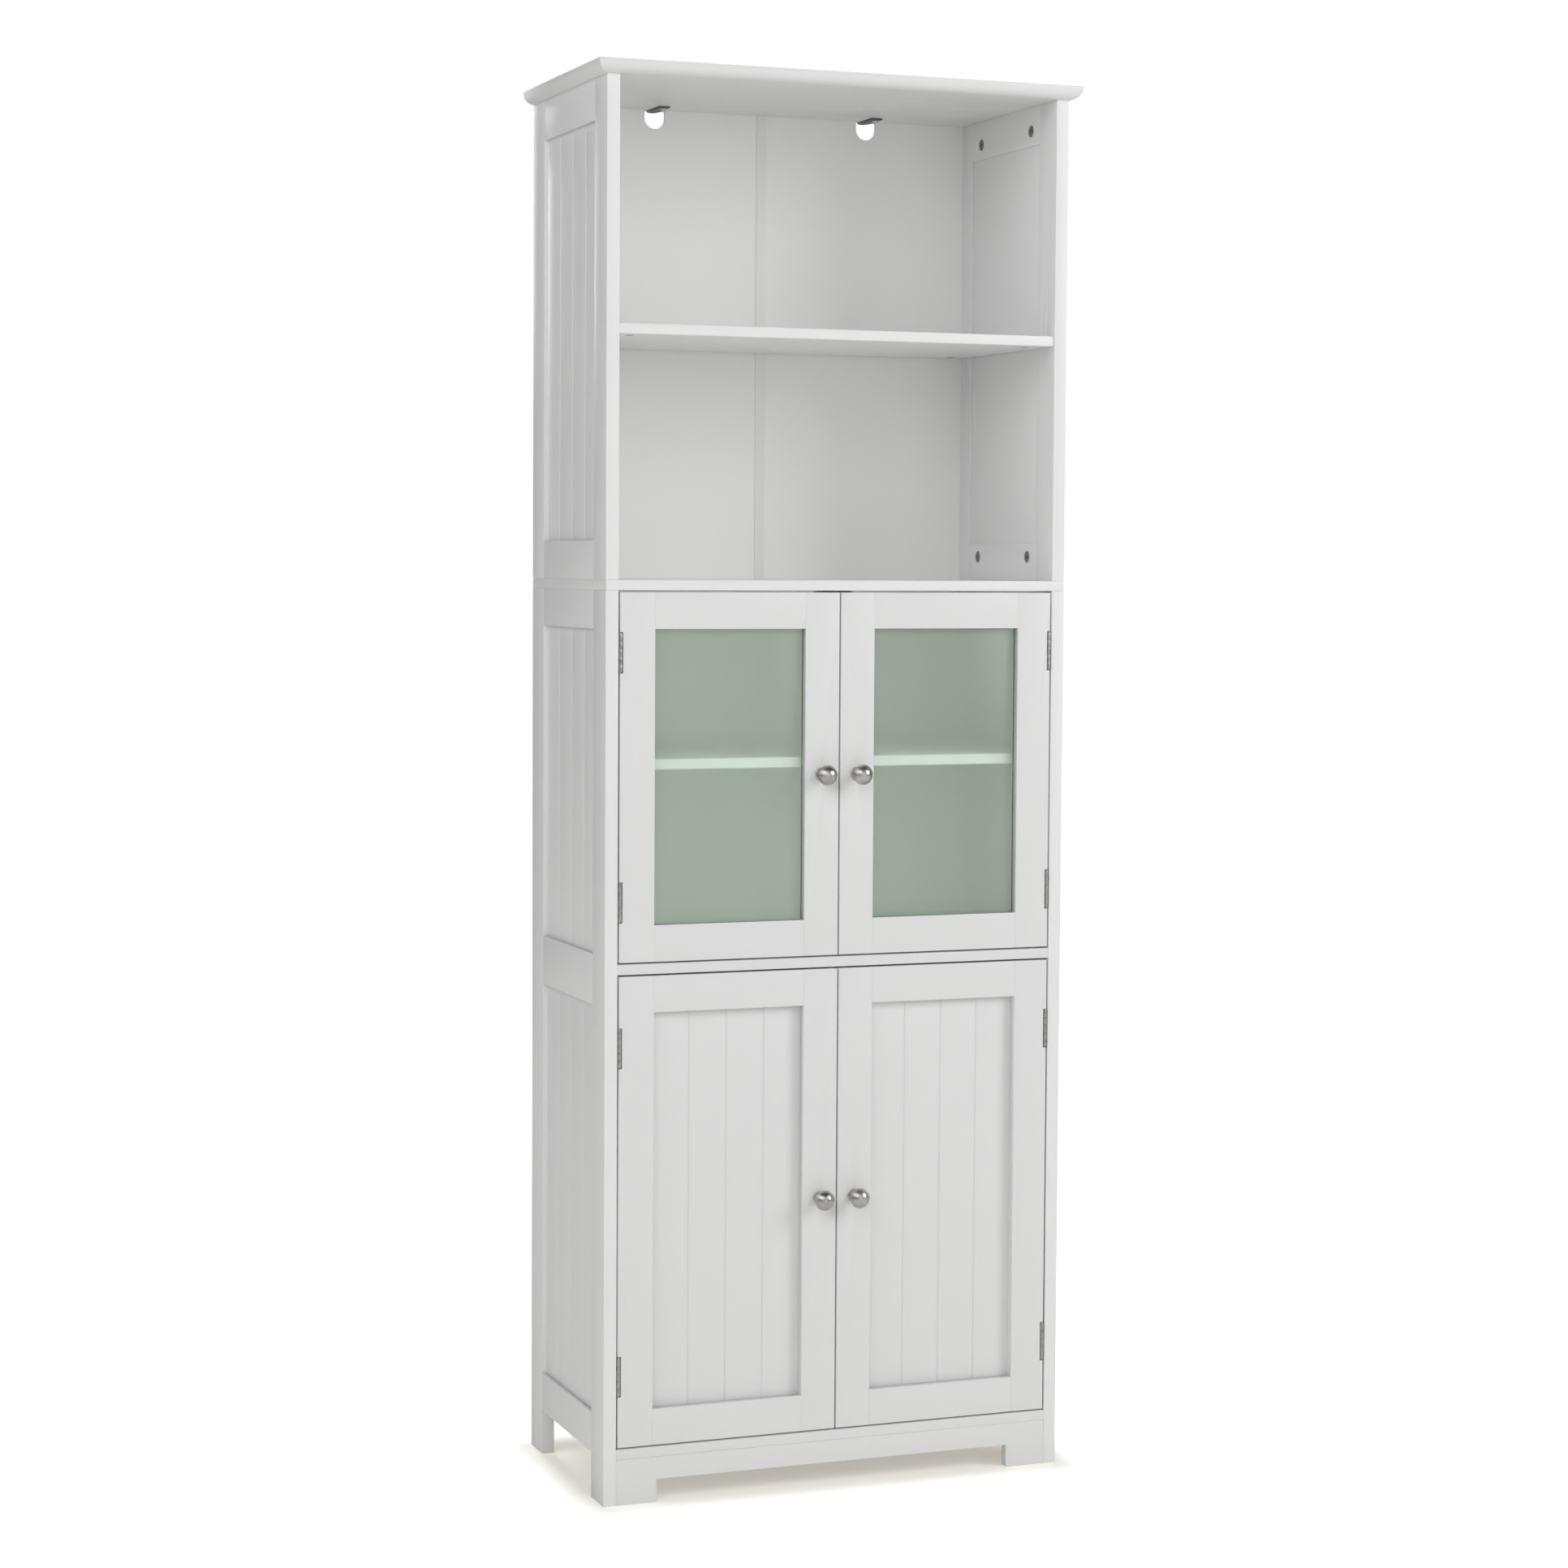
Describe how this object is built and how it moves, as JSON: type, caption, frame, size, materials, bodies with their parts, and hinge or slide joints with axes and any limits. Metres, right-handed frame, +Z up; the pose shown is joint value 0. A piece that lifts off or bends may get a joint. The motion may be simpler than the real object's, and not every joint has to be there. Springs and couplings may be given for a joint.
{
  "type": "tall bathroom storage cabinet",
  "caption": "Tall narrow free-standing bathroom cabinet with open bays on top, a glass-door cupboard and a panelled-door cupboard below, standing on short feet",
  "frame": {"origin": "On the floor, at the centre of the footprint of the whole object, knobs included", "axes": "+Z up, -Y to the front where the doors are, +X to the right as seen from the front"},
  "size_m": [0.627, 0.329, 1.7243],
  "materials": {
    "white_paint": "smooth satin white lacquer over board and solid wood",
    "back_sheet": "smooth satin white foil over thin hardboard",
    "white_plastic": "plain extruded or moulded white plastic, slightly satin",
    "bare_wood": "bare fluted beech",
    "green_glass": "sage green translucent glass, faintly frosted",
    "brushed_nickel": "fine turned and brushed nickel plate",
    "hinge_steel": "satin nickel-plated pressed steel",
    "zinc_steel": "bright zinc-plated steel",
    "dark_steel": "dark grey coated steel strip",
    "magnet": "dull dark ferrite"
  },
  "bodies": {
    "root": {"top_board": "white_paint", "divider_board": "white_paint", "middle_board": "white_paint", "bottom_board": "white_paint", "front_apron": "white_paint", "open_shelf": "white_paint", "upper_cupboard_shelf": "white_paint", "lower_cupboard_shelf": "white_paint", "shelf_pins": "zinc_steel", "left_upper_side_stiles": "white_paint", "left_lower_side_stiles": "white_paint", "left_side_rails": "white_paint", "left_side_panels": "white_paint", "right_upper_side_stiles": "white_paint", "right_lower_side_stiles": "white_paint", "right_side_rails": "white_paint", "right_side_panels": "white_paint", "back_sheets": "back_sheet", "back_strips": "white_plastic", "cam_locks": "zinc_steel", "cam_bolts": "zinc_steel", "dowels": "bare_wood", "anti_tip_brackets": "dark_steel", "pan_head_screws": "zinc_steel", "hinge_frame_leaves": "hinge_steel", "hinge_pins": "hinge_steel", "hinge_frame_screws": "zinc_steel", "catch_housings": "white_plastic", "catch_magnets": "magnet"},
    "upper_left_door": {"upper_left_door_stiles": "white_paint", "upper_left_door_rails": "white_paint", "upper_left_door_glass": "green_glass", "upper_left_door_beads": "white_paint", "upper_left_door_hinge_leaves": "hinge_steel", "upper_left_door_knob": "brushed_nickel", "upper_left_door_strike": "zinc_steel", "upper_left_door_screws": "zinc_steel"},
    "upper_right_door": {"upper_right_door_stiles": "white_paint", "upper_right_door_rails": "white_paint", "upper_right_door_glass": "green_glass", "upper_right_door_beads": "white_paint", "upper_right_door_hinge_leaves": "hinge_steel", "upper_right_door_knob": "brushed_nickel", "upper_right_door_strike": "zinc_steel", "upper_right_door_screws": "zinc_steel"},
    "lower_left_door": {"lower_left_door_stiles": "white_paint", "lower_left_door_rails": "white_paint", "lower_left_door_panel": "white_paint", "lower_left_door_hinge_leaves": "hinge_steel", "lower_left_door_knob": "brushed_nickel", "lower_left_door_strike": "zinc_steel", "lower_left_door_screws": "zinc_steel"},
    "lower_right_door": {"lower_right_door_stiles": "white_paint", "lower_right_door_rails": "white_paint", "lower_right_door_panel": "white_paint", "lower_right_door_hinge_leaves": "hinge_steel", "lower_right_door_knob": "brushed_nickel", "lower_right_door_strike": "zinc_steel", "lower_right_door_screws": "zinc_steel"}
  },
  "joints": [
    {"name": "upper_left_door_hinge", "type": "hinge", "parent": "root", "child": "upper_left_door", "pos_m": [-0.281, -0.1339, 0.87785], "axis": [0, 0, -1], "range_deg": [0, 110]},
    {"name": "upper_right_door_hinge", "type": "hinge", "parent": "root", "child": "upper_right_door", "pos_m": [0.281, -0.1339, 0.87785], "axis": [0, 0, 1], "range_deg": [0, 110]},
    {"name": "lower_left_door_hinge", "type": "hinge", "parent": "root", "child": "lower_left_door", "pos_m": [-0.281, -0.1339, 0.35495], "axis": [0, 0, -1], "range_deg": [0, 110]},
    {"name": "lower_right_door_hinge", "type": "hinge", "parent": "root", "child": "lower_right_door", "pos_m": [0.281, -0.1339, 0.35495], "axis": [0, 0, 1], "range_deg": [0, 110]}
  ]
}
